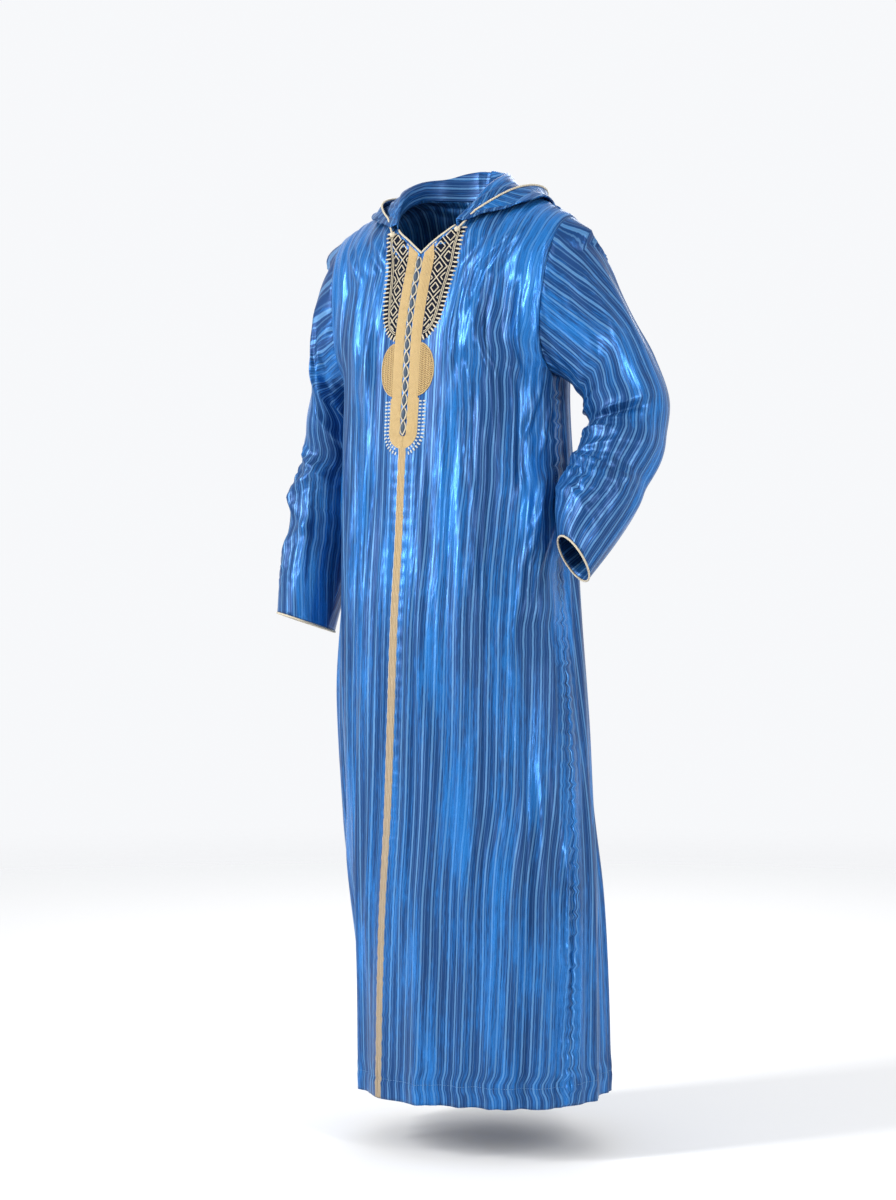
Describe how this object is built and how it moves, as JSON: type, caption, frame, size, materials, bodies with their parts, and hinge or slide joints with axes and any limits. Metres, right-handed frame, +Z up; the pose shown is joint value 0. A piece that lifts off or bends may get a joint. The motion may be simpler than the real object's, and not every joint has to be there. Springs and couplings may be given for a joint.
{
  "type": "hooded thobe",
  "caption": "Hooded thobe worn over a body: striped blue satin, laced and embroidered front, folded-down hood, one sleeve bent.",
  "frame": {"origin": "where the shoulders carry the cloth, in the middle of the neck at the height of the shoulder line", "axes": "+Z up, -Y towards the front of the garment, +X towards the wearer's left"},
  "size_m": [0.6637, 0.4084, 1.4717],
  "materials": {
    "satin": "striped satin",
    "cream_silk": "cream silk thread and cord",
    "gold_thread": "gold thread braid",
    "slate_silk": "slate-blue silk thread"
  },
  "bodies": {
    "root": {"front_left": "satin", "front_right": "satin", "back": "satin", "sleeve_left": "satin", "sleeve_right": "satin", "hood": "satin", "hood_piping": "cream_silk", "neck_piping": "cream_silk", "hood_knot_left": "cream_silk", "hood_knot_right": "cream_silk", "cuff_piping_left": "cream_silk", "cuff_piping_right": "cream_silk", "plastron_left": "cream_silk", "plastron_right": "cream_silk", "teeth_left": "cream_silk", "teeth_right": "cream_silk", "lace_left": "cream_silk", "lace_right": "cream_silk", "band_left": "gold_thread", "band_right": "gold_thread", "roundel_left": "gold_thread", "roundel_right": "gold_thread", "front_braid": "gold_thread", "eye_01": "slate_silk", "eye_02": "slate_silk", "eye_03": "slate_silk", "eye_04": "slate_silk", "eye_05": "slate_silk", "eye_06": "slate_silk", "eye_07": "slate_silk", "eye_08": "slate_silk", "eye_09": "slate_silk", "eye_10": "slate_silk", "eye_11": "slate_silk", "eye_12": "slate_silk", "eye_13": "slate_silk"}
  },
  "joints": []
}
